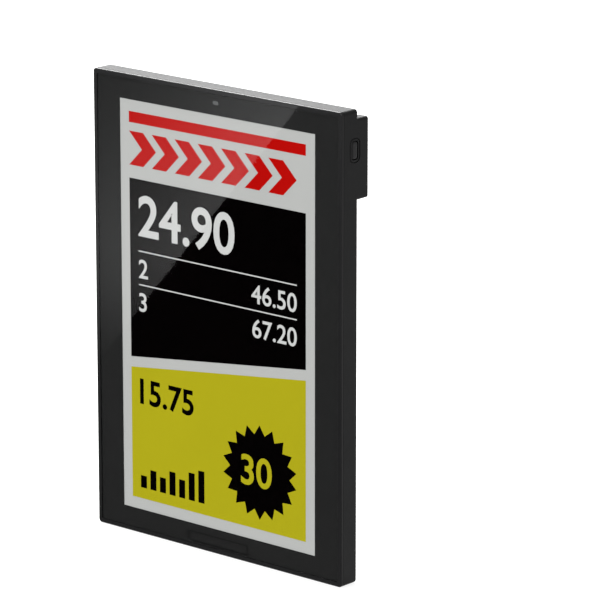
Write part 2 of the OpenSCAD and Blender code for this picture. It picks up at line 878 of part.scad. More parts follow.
// Leaf springs: a foot on the board, a leg through the floor and an arm up to the cell
module negative_springs() {
    reach = floor_d - board_back_d;
    color([0.85, 0.8, 0.6]) at_cells() translate([-neg_w / 2, front_y + board_back_d, -neg_root])
        rotate([90, 0, 90]) linear_extrude(neg_w) polygon([
            [0, -neg_foot],
            [contact_t, -neg_foot],
            [contact_t, 0],
            [reach + contact_t, 0],
            [reach + cell_lift, neg_root - neg_tip],
            [reach + cell_lift, neg_root + neg_tip],
            [reach + cell_lift - contact_t, neg_root + neg_tip],
            [reach + cell_lift - contact_t, neg_root - neg_tip],
            [reach, contact_t],
            [0, contact_t]
        ]);
}

// Side contacts: a foot on the board and a blade that presses on the edge of the can
module positive_contacts() {
    reach = cell_d - board_back_d + pos_h;
    color([0.85, 0.8, 0.6]) at_cells() translate([-pos_w / 2, front_y + board_back_d, cell_dia / 2])
        rotate([90, 0, 90]) linear_extrude(pos_w) polygon([
            [0, 0],
            [reach, 0],
            [reach + contact_t, contact_t],
            [reach, 2 * contact_t],
            [reach - contact_t, contact_t],
            [contact_t, contact_t],
            [contact_t, pos_foot],
            [0, pos_foot]
        ]);
}

module case_screws() {
    color([0.7, 0.7, 0.72]) at_screws() difference() {
        union() {
            depth_pin(0, 0, floor_d, floor_d + screw_head_h, screw_head_dia / 2);
            depth_pin(0, 0, floor_d - screw_len, floor_d + screw_head_h, screw_dia / 2);
        }
        for (a = [0, 90]) rotate([0, a, 0])
            translate([-screw_head_dia / 4, front_y + floor_d + screw_head_h - slot_d, -slot_w / 6])
                cube([screw_head_dia / 2, slot_d + over, slot_w / 3]);
    }
}

module battery_cover() {
    w = label_w - 2 * (cover_side + cover_gap);
    z0 = housing_z + cover_bottom + cover_gap;
    color([0.16, 0.16, 0.17]) difference() {
        union() {
            case_block(w, z0, housing_top, cover_d, total_depth, cover_r, 0, cover_edge_r);
            for (x = low_tab_places()) slab(cover_d, total_depth - cover_edge_r)
                translate([x[0], housing_z]) square([x[1] - x[0], cover_bottom + cover_r]);
            for (x = top_tab_places()) {
                slab(cover_d, total_depth) translate([x[0], housing_top - cover_r])
                    square([x[1] - x[0], cover_r + tab_rise]);
                slab(cover_d - finger_len, cover_d + fit_gap)
                    translate([x[0], housing_top + tab_rise - finger_t]) square([x[1] - x[0], finger_t]);
            }
            for (i = [1 : cell_count - 1], z = [bay_z + cover_gap, bay_top - cover_gap - locator_t])
                slab(cover_d - locator_len, cover_d + fit_gap)
                    translate([(i - cell_count / 2) * cell_pitch - locator_w / 2, z])
                        square([locator_w, locator_t]);
        }
        slab(cover_d - over, total_depth + over)
            translate([-pry_w / 2, housing_top - pry_h]) square([pry_w, pry_h + over]);
    }
}

module cell_pads() {
    color([0.25, 0.25, 0.26]) slab(pad_d, cover_d)
        for (i = [0 : cell_count - 1]) translate([(i - (cell_count - 1) / 2) * cell_pitch, bay_mid_z])
            square([pad_w, pad_h], center = true);
}

front_bezel();
cover_window();
window_border();
window_tape();
display_film();
display_glass();
driver_chip();
display_flex();
panel_foam();
mid_frame();
main_board();
flex_connector();
shield_can();
board_components();
radio_antenna();
nfc_antenna();
status_led();
light_guide();
tactile_switch();
switch_plunger();
side_button();
rear_case();
coin_cells();
negative_springs();
positive_contacts();
case_screws();
battery_cover();
cell_pads();
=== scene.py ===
"""Looks of an electronic shelf label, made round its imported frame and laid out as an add-on.

The frame's pieces keep their shapes and get their finishes here. The picture on the screen,
the marks on the cells and the studio are made in this file. Everything is in metres.
"""
import math

import bmesh
import bpy
from mathutils import Matrix, Vector


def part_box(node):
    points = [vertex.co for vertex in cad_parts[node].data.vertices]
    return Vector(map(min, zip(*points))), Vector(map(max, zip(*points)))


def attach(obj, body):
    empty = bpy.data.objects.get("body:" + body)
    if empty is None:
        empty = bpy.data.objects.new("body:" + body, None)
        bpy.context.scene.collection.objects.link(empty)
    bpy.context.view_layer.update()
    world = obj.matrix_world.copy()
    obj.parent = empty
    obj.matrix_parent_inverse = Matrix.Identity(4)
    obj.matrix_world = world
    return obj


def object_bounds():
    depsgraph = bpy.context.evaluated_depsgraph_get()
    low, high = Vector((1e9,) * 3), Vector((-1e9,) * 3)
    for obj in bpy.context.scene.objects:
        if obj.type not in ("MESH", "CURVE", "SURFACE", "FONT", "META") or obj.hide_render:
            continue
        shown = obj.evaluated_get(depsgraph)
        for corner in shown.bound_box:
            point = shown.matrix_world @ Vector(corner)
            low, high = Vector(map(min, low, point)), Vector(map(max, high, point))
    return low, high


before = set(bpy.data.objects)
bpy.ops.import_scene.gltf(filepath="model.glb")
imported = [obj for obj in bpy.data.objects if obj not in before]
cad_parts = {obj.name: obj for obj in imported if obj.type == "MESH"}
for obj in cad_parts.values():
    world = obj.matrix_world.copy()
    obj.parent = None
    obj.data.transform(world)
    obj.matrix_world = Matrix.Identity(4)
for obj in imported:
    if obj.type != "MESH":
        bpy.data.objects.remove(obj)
CAD_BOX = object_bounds()

bl_info = {
    "name": "Electronic Shelf Label",
    "version": (1, 0, 0),
    "blender": (4, 5, 0),
    "location": "3D View > Sidebar > Shelf Label",
    "description": "Finishes, screen picture and studio for an electronic shelf label",
    "category": "Object",
}

MM = 0.001

# Film beyond the visible screen on every side, as the frame has it
FILM_MARGIN = 1.2 * MM
FILM_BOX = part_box("display_film")
SCREEN_LEFT = FILM_BOX[0].x + FILM_MARGIN
SCREEN_LOW = FILM_BOX[0].z + FILM_MARGIN
SCREEN_W = FILM_BOX[1].x - FILM_MARGIN - SCREEN_LEFT
SCREEN_H = FILM_BOX[1].z - FILM_MARGIN - SCREEN_LOW

# Depths of the print layers in the gap between the border print and the film
PRINT_T = 0.008 * MM
PRINT_GAP = 0.006 * MM
BLOCK_BACK = FILM_BOX[0].y - PRINT_GAP
BLOCK_FRONT = BLOCK_BACK - PRINT_T
NUMERAL_BACK = BLOCK_FRONT - PRINT_GAP / 2
NUMERAL_FRONT = NUMERAL_BACK - PRINT_T
STAR_BACK = NUMERAL_FRONT - PRINT_GAP / 2
STAR_FRONT = STAR_BACK - PRINT_T

# The touch mark's groove in the window, as the frame has it
MARK_W = 31.4 * MM
MARK_H = 4.3 * MM
MARK_Z = 4.7 * MM
MARK_LINE = 0.4 * MM
MARK_EDGE = 0.1 * MM
MARK_SINK = 0.08 * MM

# The joint between bezel and rear case, and the strip of painted shade in it
PARTING_D = 1.1 * MM
CORNER_R = 1.4 * MM
SEAM_SINK = 0.0005 * MM
SEAM_T = 0.05 * MM
SEAM_W = 0.24 * MM

# Coin cells, counted from the left, and the width of the pad behind each
CELL_COUNT = 4
PAD_W = 9 * MM

# The plus sign on a cell: its height above the cell's middle, its arm, half its stroke, and its
# front and back behind the cell's face
PLUS_RISE = 7.6 * MM
PLUS_ARM = 1.5 * MM
PLUS_HALF = 0.3 * MM
PLUS_FRONT = 0.004 * MM
PLUS_BACK = 0.03 * MM

# Space between a block's edge and what is printed on it
INSET = 4.5 * MM

# The red chevrons: space under the band, their count, and the width of each as a share of the pitch
CHEVRON_DROP = 3.4 * MM
CHEVRON_COUNT = 7
CHEVRON_SHARE = 0.62

# Numerals: how far a stroke is thickened, in shares of the font's size
ROW_WEIGHT = 0.012
PRICE_WEIGHT = 0.018
OFFER_WEIGHT = 0.02

# The dark block's price and its table, measured down from the block's head
PRICE_H = 17 * MM
PRICE_DROP = 23 * MM
ROW_H = 7.6 * MM
ROW_DROP = 39.5 * MM
ROW_PITCH = 13.5 * MM
RULE_RISE = 10.6 * MM
RULE_T = 0.5 * MM

# The yellow block's price, its bars and its star with a number
OFFER_H = 10.5 * MM
OFFER_DROP = 14.5 * MM
BAR_W = 3.2 * MM
BAR_PITCH = 5.1 * MM
BAR_HEIGHTS = [h * MM for h in (5.0, 8.0, 6.2, 9.6, 7.4, 11.2, 13.0)]
STAR_R = 19 * MM
STAR_INNER_R = 15.2 * MM
STAR_RISE = 18.5 * MM
STAR_POINTS = 18
STAR_NUMBER_H = 12.4 * MM
STAR_NUMBER_LEFT = 9.6 * MM

# The floor, a disc just under the label, and how it looks to the camera
FLOOR_R = 7.0
FLOOR_DROP = 0.1 * MM
FLOOR_SIDES = 64
FLOOR_SHADE = 0.3
FLOOR_GLOW = 0.85

# The line on the floor where the two cards meet, y = slope * x + start, its ends in X, and the
# height that the cards lie at
CARD_SLOPE = 1.6353
CARD_START = 0.1914
CARD_JOIN = (-0.60, -0.15)
CARD_LIFT = 0.3 * MM

# The other corners of the dark card, the pale card's left side, and the corner at its front right
DARK_CORNERS = [(-0.35, -1.0), (0.15, -1.0), (0.15, -0.0078), (-0.07, -0.0078)]
PALE_LEFT = -1.1
PALE_CORNER = (-0.75, -1.0)

# How fast the pale card's glow falls off from the join, and where along Y it rises
CARD_FALL = 1.8
CARD_RISE = (-0.165, -0.38)

# The camera, as the photograph's straight edges give it, its sensor in millimetres, and how far
# it sees
CAMERA_PLACE = (1.066184, -1.188776, 0.524126)
CAMERA_YAW = math.radians(40.9046602)
CAMERA_DIP = math.radians(14.8436749)
CAMERA_ROLL = math.radians(-0.0181055)
SENSOR_W = 36.0
VIEW_REACH = 50.0

# The limits between which nearly all of a noise texture's values lie
NOISE_RANGE = (0.3, 0.7)

# How much a small turn of the surface counts as an edge that is made paler, for wear and for a
# painted highlight
EDGE_GAIN = 6.0


# Meshes

def new_object(name, shape, material):
    """A finished mesh as an object in the scene."""
    mesh = bpy.data.meshes.new(name)
    shape.to_mesh(mesh)
    shape.free()
    mesh.materials.append(material)
    piece = bpy.data.objects.new(name, mesh)
    bpy.context.scene.collection.objects.link(piece)
    return piece


def new_piece(name, shape, material, body):
    """Makes a finished mesh into an object that rides on a body, with the slot of its finish."""
    bmesh.ops.recalc_face_normals(shape, faces=shape.faces)
    piece = new_object(name, shape, material)
    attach(piece, body)


def add_prism(shape, outline, front, back):
    """Adds a closed prism to a mesh: an outline in X and Z between two places along Y."""
    near = [shape.verts.new((x, front, z)) for x, z in outline]
    far = [shape.verts.new((x, back, z)) for x, z in outline]
    shape.faces.new(near)
    shape.faces.new(far[::-1])
    for i in range(len(outline)):
        j = (i + 1) % len(outline)
        shape.faces.new((near[i], far[i], far[j], near[j]))


def flat_sheet(outline, height):
    """A mesh of one level face, with an outline in X and Y."""
    shape = bmesh.new()
    shape.faces.new([shape.verts.new((x, y, height)) for x, y in outline])
    return shape


def box_outline(left, low, width, height):
    """The four corners of an upright rectangle in X and Z."""
    return [(left, low), (left + width, low), (left + width, low + height), (left, low + height)]


def round_outline(x, z, half_w, half_h, radius, steps=6):
    """An upright rectangle with round corners, as points in X and Z."""
    points = []
    for quarter in range(4):
        turn = quarter * math.pi / 2
        side = (1, 1, -1, -1)[quarter], (1, -1, -1, 1)[quarter]
        for i in range(steps + 1):
            angle = turn + math.pi / 2 * i / steps
            points.append((x + side[0] * (half_w - radius) + radius * math.sin(angle),
                           z + side[1] * (half_h - radius) + radius * math.cos(angle)))
    return points


def add_frame(shape, outer, inner, front, back):
    """Adds a flat frame between two outlines that have as many points as each other."""
    rings = [[shape.verts.new((x, y, z)) for x, z in outline]
             for outline, y in ((outer, front), (inner, front), (inner, back), (outer, back))]
    for near, far in zip(rings, rings[1:] + rings[:1]):
        for i in range(len(near)):
            j = (i + 1) % len(near)
            shape.faces.new((near[i], near[j], far[j], far[i]))


def star_outline(x, z, outer, inner, points):
    """A star round a place in X and Z, with its points at the outer radius."""
    turns = [math.pi * i / points for i in range(2 * points)]
    radii = [outer, inner] * points
    return [(x + r * math.sin(t), z + r * math.cos(t)) for r, t in zip(radii, turns)]


def add_numerals(shape, text, x, z, height, weight, front, back, right_aligned=False):
    """Adds upright numerals of a given height, their lower left corner at x and z."""
    letters = bpy.data.curves.new("numerals", "FONT")
    letters.body = text
    letters.offset = weight
    letters.extrude = 0.5
    letters.resolution_u = 5
    carrier = bpy.data.objects.new("numerals", letters)
    flat = bpy.data.meshes.new_from_object(carrier)
    low = Vector([min(v.co[i] for v in flat.vertices) for i in range(3)])
    high = Vector([max(v.co[i] for v in flat.vertices) for i in range(3)])
    scale = height / (high.y - low.y)
    left = x - (high.x - low.x) * scale if right_aligned else x
    place = Matrix((
        (scale, 0, 0, left - low.x * scale),
        (0, 0, front - back, (front + back) / 2),
        (0, scale, 0, z - low.y * scale),
        (0, 0, 0, 1),
    ))
    flat.transform(place)
    shape.from_mesh(flat)
    bpy.data.meshes.remove(flat)
    bpy.data.objects.remove(carrier)
    bpy.data.curves.remove(letters)


# Shader nodes

def fill(tree, node, values):
    """Fills a node's sockets: a plain value is set, and another node's socket is linked."""
    for socket, value in values.items():
        if isinstance(value, bpy.types.NodeSocket):
            tree.links.new(value, node.inputs[socket])
        else:
            node.inputs[socket].default_value = value


def put(tree, kind, values=None, **settings):
    """Adds a node with its settings and what its sockets take."""
    node = tree.nodes.new(kind)
    for name, value in settings.items():
        setattr(node, name, value)
    fill(tree, node, values or {})
    return node


def maths(tree, operation, first, second=0.0, third=0.0, clamp=False):
    """The result of one Math node."""
    node = put(tree, "ShaderNodeMath", {0: first, 1: second, 2: third}, operation=operation,
               use_clamp=clamp)
    return node.outputs[0]


def blend(tree, factor, first, second):
    """Two colours mixed by a factor. They go in at sockets 6 and 7, and the mix comes out at 2."""
    node = put(tree, "ShaderNodeMix", {0: factor, 6: first, 7: second}, data_type="RGBA")
    return node.outputs[2]


def scaled(tree, color, factor):
    """A colour made paler or darker by a factor."""
    node = put(tree, "ShaderNodeVectorMath", {"Vector": color, "Scale": factor}, operation="SCALE")
    return node.outputs[0]


def map_range(tree, value, source, target, **settings):
    """A value moved from one range to another, and held within it."""
    node = put(tree, "ShaderNodeMapRange", {
        "Value": value, "From Min": source[0], "From Max": source[1],
        "To Min": target[0], "To Max": target[1],
    }, **settings)
    return node.outputs[0]


def remap(tree, value, low, high):
    """A noise value between its usual limits, spread from low to high."""
    return map_range(tree, value, NOISE_RANGE, (low, high))


def own_place(tree):
    """The place on the piece, in its own metres."""
    return put(tree, "ShaderNodeTexCoord").outputs["Object"]


def noise(tree, place, scale, detail=2.0):
    """Soft random values that change as many times to the metre as the scale says."""
    node = put(tree, "ShaderNodeTexNoise", {"Vector": place, "Scale": scale, "Detail": detail})
    return node.outputs["Fac"]


def new_effect(name, inputs, outputs):
    """An empty node group with named sockets, and the ends that its nodes are linked to."""
    group = bpy.data.node_groups.new(name, "ShaderNodeTree")
    for title, kind, default in inputs:
        socket = group.interface.new_socket(title, in_out="INPUT", socket_type=kind)
        socket.default_value = default
    for title, kind in outputs:
        group.interface.new_socket(title, in_out="OUTPUT", socket_type=kind)
    given = group.nodes.new("NodeGroupInput")
    result = group.nodes.new("NodeGroupOutput")
    return group, given.outputs, result.inputs


def finish_effect(group, result, sockets):
    """Links what a node group puts out."""
    for title, socket in sockets.items():
        group.links.new(socket, result[title])


def effect(name):
    """A shared effect, built the first time that a material asks for it."""
    return bpy.data.node_groups.get(name) or EFFECTS[name](name)


def use_effect(tree, name, values):
    """Places a shared effect in a material with the material's own values."""
    node = tree.nodes.new("ShaderNodeGroup")
    node.node_tree = effect(name)
    fill(tree, node, values)
    return node.outputs


# What the effects that cover a whole surface put out
SURFACE_OUTPUTS = [
    ("Color", "NodeSocketColor"), ("Roughness", "NodeSocketFloat"), ("Height", "NodeSocketFloat"),
]


def moulded_grain(name):
    """Fine spark-textured surface of moulded plastic, with slow drifts in tone and gloss."""
    group, given, result = new_effect(name, [
        ("Color", "NodeSocketColor", (0.5, 0.5, 0.5, 1)),
        ("Variation", "NodeSocketFloat", 0.1),
        ("Grains per Metre", "NodeSocketFloat", 3000.0),
        ("Roughness", "NodeSocketFloat", 0.4),
        ("Roughness Spread", "NodeSocketFloat", 0.05),
    ], SURFACE_OUTPUTS)
    place = own_place(group)
    drift = noise(group, place, scale=24.0, detail=3.0)
    gloss = noise(group, place, scale=70.0)
    fine = noise(group, place, given["Grains per Metre"])
    pits = put(group, "ShaderNodeTexVoronoi", {"Vector": place, "Scale": given["Grains per Metre"]})
    spread = maths(group, "MULTIPLY", remap(group, drift, -1.0, 1.0), given["Variation"])
    grit = maths(group, "MULTIPLY", remap(group, fine, -0.5, 0.5), given["Variation"])
    tone = maths(group, "ADD", maths(group, "ADD", spread, grit), 1.0)
    color = scaled(group, given["Color"], tone)
    shift = maths(group, "MULTIPLY", remap(group, gloss, -1.0, 1.0), given["Roughness Spread"])
    rough = maths(group, "ADD", given["Roughness"], shift, clamp=True)
    height = maths(group, "MULTIPLY_ADD", pits.outputs["Distance"], 0.6, fine)
    finish_effect(group, result, {"Color": color, "Roughness": rough, "Height": height})
    return group


def edge_wear_and_highlight(name):
    """Edges made a little paler, broken up by noise: wear from handling, and where the amount is
    raised a painted highlight on rounded edges.
    """
    group, given, result = new_effect(name, [
        ("Color", "NodeSocketColor", (0.5, 0.5, 0.5, 1)),
        ("Worn and Highlight Color", "NodeSocketColor", (0.6, 0.6, 0.6, 1)),
        ("Width", "NodeSocketFloat", 0.0004),
        ("Amount", "NodeSocketFloat", 0.3),
    ], [("Color", "NodeSocketColor")])
    place = own_place(group)
    soft = put(group, "ShaderNodeBevel", {"Radius": given["Width"]}, samples=4).outputs["Normal"]
    sharp = put(group, "ShaderNodeNewGeometry").outputs["Normal"]
    same = put(group, "ShaderNodeVectorMath", {0: soft, 1: sharp}, operation="DOT_PRODUCT")
    turned = maths(group, "SUBTRACT", 1.0, same.outputs["Value"])
    edge = maths(group, "MULTIPLY", turned, EDGE_GAIN, clamp=True)
    patches = noise(group, place, scale=260.0, detail=3.0)
    broken = maths(group, "MULTIPLY", edge, remap(group, patches, 0.2, 1.0))
    wear_and_highlight = maths(group, "MULTIPLY", broken, given["Amount"], clamp=True)
    color = blend(group, wear_and_highlight, given["Color"], given["Worn and Highlight Color"])
    finish_effect(group, result, {"Color": color})
    return group


def capsule_speckle(name):
    """Fine speckle of the capsules that form the picture on electronic paper."""
    group, given, result = new_effect(name, [
        ("Color", "NodeSocketColor", (0.5, 0.5, 0.5, 1)),
        ("Speckle", "NodeSocketFloat", 0.05),
        ("Capsules per Metre", "NodeSocketFloat", 9000.0),
    ], SURFACE_OUTPUTS)
    place = own_place(group)
    count = given["Capsules per Metre"]
    cells = put(group, "ShaderNodeTexVoronoi", {"Vector": place, "Scale": count})
    cloud = noise(group, place, scale=30.0)
    dots = put(group, "ShaderNodeSeparateColor", {0: cells.outputs["Color"]}).outputs[0]
    small = maths(group, "MULTIPLY", maths(group, "SUBTRACT", dots, 0.5), given["Speckle"])
    slow = maths(group, "MULTIPLY", remap(group, cloud, -0.25, 0.25), given["Speckle"])
    tone = maths(group, "ADD", maths(group, "ADD", small, slow), 1.0)
    color = scaled(group, given["Color"], tone)
    rough = maths(group, "MULTIPLY_ADD", dots, 0.15, 0.5)
    finish_effect(group, result, {
        "Color": color, "Roughness": rough, "Height": cells.outputs["Distance"],
    })
    return group


def rolled_metal(name):
    """Rolled or plated sheet, with fine lines along the height and faint stains."""
    group, given, result = new_effect(name, [
        ("Color", "NodeSocketColor", (0.6, 0.6, 0.6, 1)),
        ("Stain", "NodeSocketFloat", 0.15),
        ("Roughness", "NodeSocketFloat", 0.3),
        ("Lines per Metre", "NodeSocketFloat", 5000.0),
    ], SURFACE_OUTPUTS)
    place = own_place(group)
    drawn = put(group, "ShaderNodeMapping", {"Vector": place, "Scale": (1.0, 1.0, 0.03)}).outputs[0]
    lines = noise(group, drawn, given["Lines per Metre"])
    stains = noise(group, place, scale=150.0, detail=4.0)
    dull = maths(group, "MULTIPLY", remap(group, stains, 0.0, 1.0), given["Stain"])
    tone = maths(group, "SUBTRACT", 1.0, dull)
    color = scaled(group, given["Color"], tone)
    streaks = remap(group, lines, -0.06, 0.06)
    marked = maths(group, "MULTIPLY_ADD", dull, 0.5, streaks)
    rough = maths(group, "ADD", marked, given["Roughness"], clamp=True)
    finish_effect(group, result, {"Color": color, "Roughness": rough, "Height": lines})
    return group


def wiped_haze(name):
    """Faint uneven haze that wiping leaves on clear and glossy surfaces."""
    group, given, result = new_effect(name, [
        ("Roughness", "NodeSocketFloat", 0.02),
        ("Haze", "NodeSocketFloat", 0.02),
    ], [("Roughness", "NodeSocketFloat")])
    place = own_place(group)
    wiped = put(group, "ShaderNodeMapping", {
        "Vector": place, "Rotation": (0, 0.5, 0), "Scale": (1.0, 1.0, 0.4),
    }).outputs[0]
    clouds = noise(group, wiped, scale=45.0, detail=4.0)
    haze = maths(group, "MULTIPLY", remap(group, clouds, 0.0, 1.0), given["Haze"])
    rough = maths(group, "ADD", given["Roughness"], haze, clamp=True)
    finish_effect(group, result, {"Roughness": rough})
    return group


def front_gloss(name):
    """Gloss on faces that look to the front, so that the rim mirrors what the window does."""
    group, given, result = new_effect(name, [
        ("From", "NodeSocketFloat", -0.93),
        ("To", "NodeSocketFloat", -0.985),
    ], [("Coat Weight", "NodeSocketFloat")])
    facing = put(group, "ShaderNodeNewGeometry").outputs["True Normal"]
    forward = put(group, "ShaderNodeSeparateXYZ", {0: facing}).outputs[1]
    weight = map_range(group, forward, (given["From"], given["To"]), (0.0, 1.0))
    finish_effect(group, result, {"Coat Weight": weight})
    return group


EFFECTS = {
    "Front Gloss": front_gloss,
    "Moulded Grain": moulded_grain,
    "Edge Wear and Highlight": edge_wear_and_highlight,
    "Capsule Speckle": capsule_speckle,
    "Rolled Metal": rolled_metal,
    "Wiped Haze": wiped_haze,
}


# Materials

def new_material(name):
    """A material with its Principled shader, ready for its effects."""
    material = bpy.data.materials.new(name)
    material.use_nodes = True
    return material, material.node_tree, material.node_tree.nodes["Principled BSDF"]


def add_bump(tree, shader, height, depth):
    """Gives a shader relief of a real depth from a height."""
    bump = put(tree, "ShaderNodeBump", {"Strength": 1.0, "Distance": depth, "Height": height})
    tree.links.new(bump.outputs[0], shader.inputs["Normal"])


def mix_surface(tree, factor, first, second):
    """Two shaders mixed by a factor, as a material's surface."""
    mixed = put(tree, "ShaderNodeMixShader", {0: factor, 1: first, 2: second}).outputs[0]
    tree.links.new(mixed, tree.nodes["Material Output"].inputs["Surface"])


def opaque(color):
    """A colour as the four numbers that a socket takes."""
    return (color[0], color[1], color[2], 1.0)


def moulded(name, color, roughness, grains=2600.0, depth=0.012 * MM, gloss=0.2, wear_and_highlight=0.25,
            mirrors_front=False):
    """Moulded plastic: spark texture, slow drifts in tone and slightly paler edges, from wear and
    as a painted edge highlight.
    """
    material, tree, shader = new_material(name)
    grain = use_effect(tree, "Moulded Grain", {
        "Color": opaque(color), "Variation": 0.08, "Grains per Metre": grains,
        "Roughness": roughness, "Roughness Spread": 0.04,
    })
    paler = [0.03 + 1.25 * c for c in color]
    edges = use_effect(tree, "Edge Wear and Highlight", {
        "Color": grain["Color"], "Worn and Highlight Color": opaque(paler), "Width": 0.25 * MM, "Amount": wear_and_highlight,
    })
    fill(tree, shader, {
        "Base Color": edges["Color"], "Roughness": grain["Roughness"], "IOR": 1.46,
        "Specular IOR Level": gloss,
    })
    add_bump(tree, shader, grain["Height"], depth)
    if mirrors_front:
        coat = use_effect(tree, "Front Gloss", {})["Coat Weight"]
        fill(tree, shader, {"Coat Weight": coat, "Coat IOR": 1.3, "Coat Roughness": 0.01})
    return material


def printed(name, color, roughness):
    """Printed or painted film: smooth, with a faint mottle."""
    material, tree, shader = new_material(name)
    grain = use_effect(tree, "Moulded Grain", {
        "Color": opaque(color), "Variation": 0.04, "Grains per Metre": 9000.0,
        "Roughness": roughness, "Roughness Spread": 0.03,
    })
    fill(tree, shader, {
        "Base Color": grain["Color"], "Roughness": grain["Roughness"], "IOR": 1.45,
        "Specular IOR Level": 0.1,
    })
    add_bump(tree, shader, grain["Height"], 0.002 * MM)
    return material


def pigment(name, color, speckle):
    """One colour of the electronic paper's capsules."""
    material, tree, shader = new_material(name)
    capsules = use_effect(tree, "Capsule Speckle", {"Color": opaque(color), "Speckle": speckle})
    fill(tree, shader, {
        "Base Color": capsules["Color"], "Roughness": capsules["Roughness"], "IOR": 1.4,
        "Specular IOR Level": 0.0,
    })
    add_bump(tree, shader, capsules["Height"], 0.001 * MM)
    return material


def metal(name, color, roughness, stain=0.15, depth=0.0004 * MM):
    """Plated or stamped metal with rolling lines and faint stains."""
    material, tree, shader = new_material(name)
    rolled = use_effect(tree, "Rolled Metal", {
        "Color": opaque(color), "Stain": stain, "Roughness": roughness,
    })
    paler = [min(1.0, 0.08 + c) for c in color]
    edges = use_effect(tree, "Edge Wear and Highlight", {
        "Color": rolled["Color"], "Worn and Highlight Color": opaque(paler), "Width": 0.15 * MM, "Amount": 0.6,
    })
    fill(tree, shader, {
        "Base Color": edges["Color"], "Roughness": rolled["Roughness"], "Metallic": 1.0,
    })
    add_bump(tree, shader, rolled["Height"], depth)
    return material


def clear(name, color, ior, roughness, haze):
    """Clear sheet that mirrors on its near side only, as if bonded, and doesn't stop light."""
    material, tree, shader = new_material(name)
    wiped = use_effect(tree, "Wiped Haze", {"Roughness": roughness, "Haze": haze})
    fill(tree, shader, {
        "Base Color": opaque(color), "Roughness": wiped["Roughness"], "IOR": ior,
        "Transmission Weight": 1.0,
    })
    rays = put(tree, "ShaderNodeLightPath").outputs
    lit = maths(tree, "MAXIMUM", rays["Is Shadow Ray"], rays["Is Diffuse Ray"])
    inside = put(tree, "ShaderNodeNewGeometry").outputs["Backfacing"]
    plain = maths(tree, "MAXIMUM", lit, inside)
    through = put(tree, "ShaderNodeBsdfTransparent", {0: opaque(color)}).outputs[0]
    mix_surface(tree, plain, shader.outputs[0], through)
    return material


def dress(names, material):
    """Gives a material to pieces of the frame."""
    for name in names:
        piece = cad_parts[name]
        if not piece.material_slots:
            piece.data.materials.append(material)
        for held in piece.material_slots:
            held.material = material


# Sizes and colours

def length(name, description, default):
    """A length that the sidebar shows in the scene's units."""
    return bpy.props.FloatProperty(
        name=name, description=description, default=default, min=0.0, precision=4, unit="LENGTH")


def share(name, description, default):
    """A plain number from 0 to 1."""
    return bpy.props.FloatProperty(
        name=name, description=description, default=default, min=0.0, max=1.0, subtype="FACTOR")


def power(name, description, default):
    """A lamp's power in watts."""
    return bpy.props.FloatProperty(
        name=name, description=description, default=default, min=0.0, unit="POWER")


def tint(name, description, default):
    """A linear colour."""
    return bpy.props.FloatVectorProperty(
        name=name, description=description, default=default, size=3, min=0.0, max=1.0,
        subtype="COLOR")


class ShelfLabelFinish(bpy.types.PropertyGroup):
    """Colours and finishes of the case."""

    bezel: tint("Bezel", "Colour of the front bezel", (0.0165, 0.0165, 0.017))
    case: tint("Case", "Colour of the rear case and the battery cover", (0.011, 0.011, 0.0113))
    key: tint("Key", "Colour of the side key", (0.016, 0.016, 0.0165))
    border: tint("Border", "Colour of the print behind the window", (0.0153, 0.0153, 0.0155))
    mark: tint("Touch Mark", "Colour in the groove of the touch mark", (0.006, 0.006, 0.0062))
    case_gloss: share("Case Gloss", "Specular level of the moulded case", 0.085)
    case_roughness: share("Case Roughness", "Roughness of the moulded case", 0.42)
    grain_depth: length("Grain Depth", "Depth of the moulded grain", 0.01 * MM)


class ShelfLabelPicture(bpy.types.PropertyGroup):
    """Sizes and colours of the picture on the screen."""

    margin: length("Margin", "Paper left bare round the picture", 4.6 * MM)
    band_h: length("Band Height", "Height of the red band at the top", 4.4 * MM)
    chevron_h: length("Chevron Height", "Height of the row of red chevrons", 13.5 * MM)
    dark_low: length("Dark Block Foot", "Dark block's foot above the screen's foot", 62 * MM)
    dark_high: length("Dark Block Head", "Dark block's head above the screen's foot", 134 * MM)
    slant: length("Slant", "Rise of the slanted gap across the screen", 11 * MM)
    gap: length("Gap", "Paper between the dark and the yellow block", 4.2 * MM)
    paper: tint("Paper", "Bare electronic paper", (0.50, 0.50, 0.495))
    red: tint("Red", "Red pigment", (0.48, 0.004, 0.003))
    dark: tint("Dark", "Black pigment", (0.0012, 0.0008, 0.0009))
    yellow: tint("Yellow", "Yellow pigment", (0.44, 0.395, 0.012))
    white: tint("White", "Numerals on the dark block", (0.62, 0.62, 0.62))


class ShelfLabelStudio(bpy.types.PropertyGroup):
    """Floor, lamps and camera."""

    sky: share("Sky", "Strength of the sky on matt surfaces", 0.5)
    key_power: power("Key Power", "Softbox high on the left, behind the label", 54.0)
    back_power: power("Back Power", "Low softbox at the back left, seen in the top faces", 1.4)
    fill_power: power("Fill Power", "Softbox at the front", 40.0)
    card_glow: bpy.props.FloatProperty(
        name="Card Glow", description="Brightness of the pale card along its join", default=1.9,
        min=0.0)
    card_reach: length("Card Reach", "Distance from the join at which the glow ends", 0.30)
    lens: bpy.props.FloatProperty(
        name="Lens", description="Focal length for a 36 mm sensor", default=257.1864, min=1.0,
        unit="CAMERA")


def settings():
    """The three groups of sizes and colours."""
    scene = bpy.context.scene
    return scene.shelf_label_finish, scene.shelf_label_picture, scene.shelf_label_studio


# Pieces

